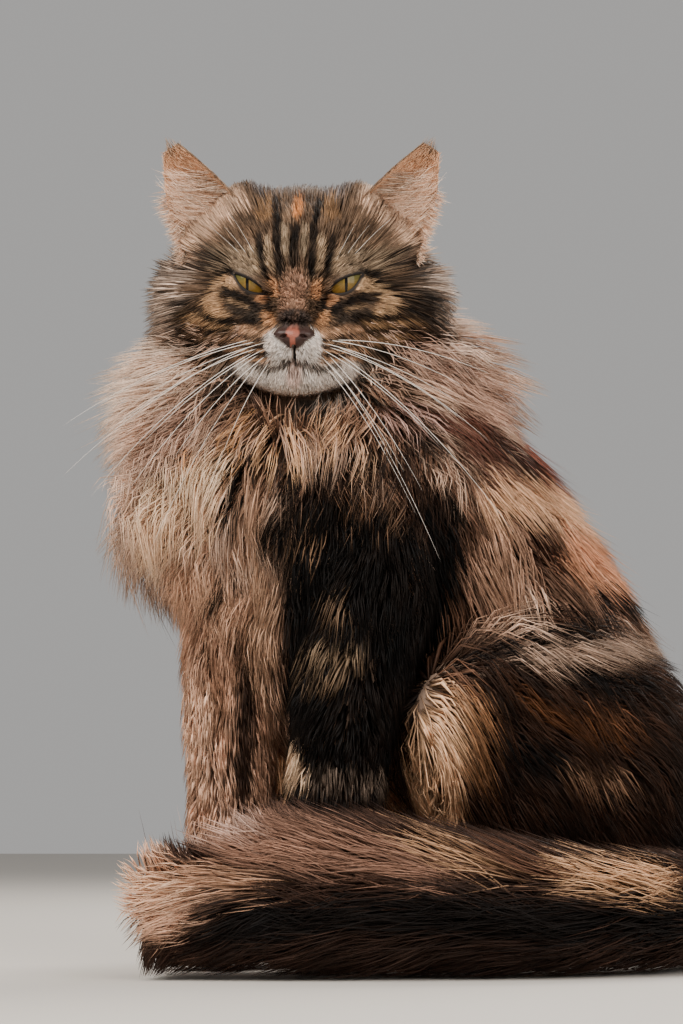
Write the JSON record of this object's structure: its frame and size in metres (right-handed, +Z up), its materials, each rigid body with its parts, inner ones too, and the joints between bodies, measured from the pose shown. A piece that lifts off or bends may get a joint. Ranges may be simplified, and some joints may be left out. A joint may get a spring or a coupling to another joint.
{
  "type": "maine coon cat",
  "caption": "Life-size seated maine coon cat with a deep ruff, tufted ears and a bushy tail laid round its feet.",
  "frame": {"origin": "on the floor under the middle of the model's box", "axes": "+Z up, the face looks along -Y, the cat's left side is towards +X"},
  "size_m": [0.3656, 0.357, 0.4492],
  "materials": {
    "face_fur": "short dense grey-brown tabby fur",
    "ruff_fur": "long loose grey-beige fur",
    "body_fur": "long dark brown tabby fur",
    "pale_leg_fur": "tan fur",
    "hind_fur": "long brown fur with dark marbling",
    "tail_fur": "very long dark brown fur",
    "ear": "thin furred ear with pale inner hair",
    "eye": "wet green-gold eye"
  },
  "bodies": {
    "root": {"head": "face_fur", "eye_left": "eye", "eye_right": "eye", "ear_left": "ear", "ear_right": "ear", "neck": "ruff_fur", "torso": "body_fur", "foreleg_left": "body_fur", "foreleg_right": "pale_leg_fur", "hindleg_left": "hind_fur", "hindleg_right": "hind_fur", "tail_base": "tail_fur", "tail_bend": "tail_fur", "tail_middle": "tail_fur", "tail_tip": "tail_fur"}
  },
  "joints": []
}
